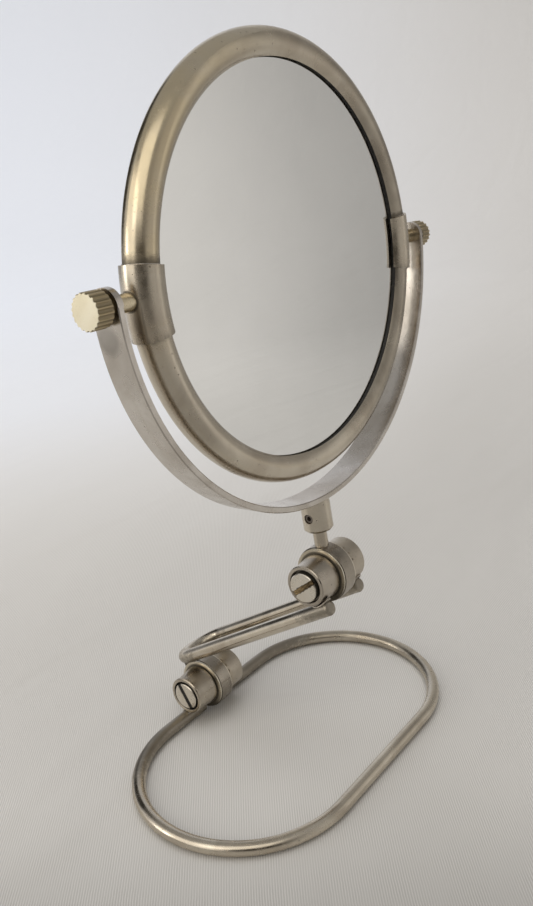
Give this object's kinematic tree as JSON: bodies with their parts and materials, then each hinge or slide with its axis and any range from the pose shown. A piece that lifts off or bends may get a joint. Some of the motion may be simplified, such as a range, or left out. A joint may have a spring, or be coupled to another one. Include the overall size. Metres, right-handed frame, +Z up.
{
  "type": "extendable shaving mirror",
  "caption": "Round two-faced mirror in a tube ring, turning in a half-round yoke on a swivelling post, a hinged hairpin arm and a wire loop base.",
  "frame": {"origin": "under the middle of the whole mirror, on the surface it stands on", "axes": "+X along the hinge and pivot axes, away from the screw heads; the front glass looks towards -Y; +Z up"},
  "size_m": [0.2086, 0.1182, 0.3051],
  "materials": {
    "nickel": "worn warm nickel plate, dulled and lightly tarnished",
    "brass": "pale dull brass",
    "steel": "dark plain steel",
    "mirror": "silvered glass",
    "gasket": "matt black",
    "card": "dull brown card"
  },
  "bodies": {
    "base": {"base_loop": "nickel", "base_front_barrel": "nickel", "base_rear_barrel": "nickel", "base_hinge_screw": "nickel", "base_brass_washer": "brass", "base_spring_washer": "steel"},
    "arm": {"arm_hairpin": "nickel", "arm_knuckle": "nickel", "elbow_front_barrel": "nickel", "elbow_rear_barrel": "nickel", "elbow_hinge_screw": "nickel", "elbow_brass_washer": "brass", "elbow_spring_washer": "steel"},
    "post": {"post_knuckle": "nickel", "post": "nickel"},
    "yoke": {"yoke_strip": "nickel", "yoke_socket": "nickel", "socket_grub_screw": "steel"},
    "ring": {"ring_upper_half": "nickel", "ring_lower_half": "nickel", "ring_left_collar": "nickel", "ring_right_collar": "nickel", "left_pivot_stud": "brass", "right_pivot_stud": "brass", "front_glass": "mirror", "back_glass": "mirror", "backing_card": "card", "front_gasket": "gasket", "back_gasket": "gasket"},
    "left_knob": {"left_knob": "brass"},
    "right_knob": {"right_knob": "brass"}
  },
  "joints": [
    {"name": "base_hinge", "type": "hinge", "parent": "base", "child": "arm", "pos_m": [-0.0064, 0.04093, 0.0152], "axis": [-1, 0, 0], "range_deg": [-12, 70]},
    {"name": "elbow_hinge", "type": "hinge", "parent": "arm", "child": "post", "pos_m": [0, -0.03024, 0.08945], "axis": [1, 0, 0], "range_deg": [-100, 100]},
    {"name": "post_swivel", "type": "hinge", "parent": "post", "child": "yoke", "pos_m": [0, -0.03024, 0.08945], "axis": [0, 0.1219, 0.9925], "continuous": true},
    {"name": "mirror_tilt", "type": "hinge", "parent": "yoke", "child": "ring", "pos_m": [0, -0.02178, 0.22011], "axis": [1, 0, 0], "continuous": true},
    {"name": "left_knob_turn", "type": "hinge", "parent": "ring", "child": "left_knob", "pos_m": [-0.1, -0.02178, 0.22011], "axis": [-1, 0, 0], "range_deg": [0, 360]},
    {"name": "right_knob_turn", "type": "hinge", "parent": "ring", "child": "right_knob", "pos_m": [0.1, -0.02178, 0.22011], "axis": [1, 0, 0], "range_deg": [0, 360]}
  ]
}
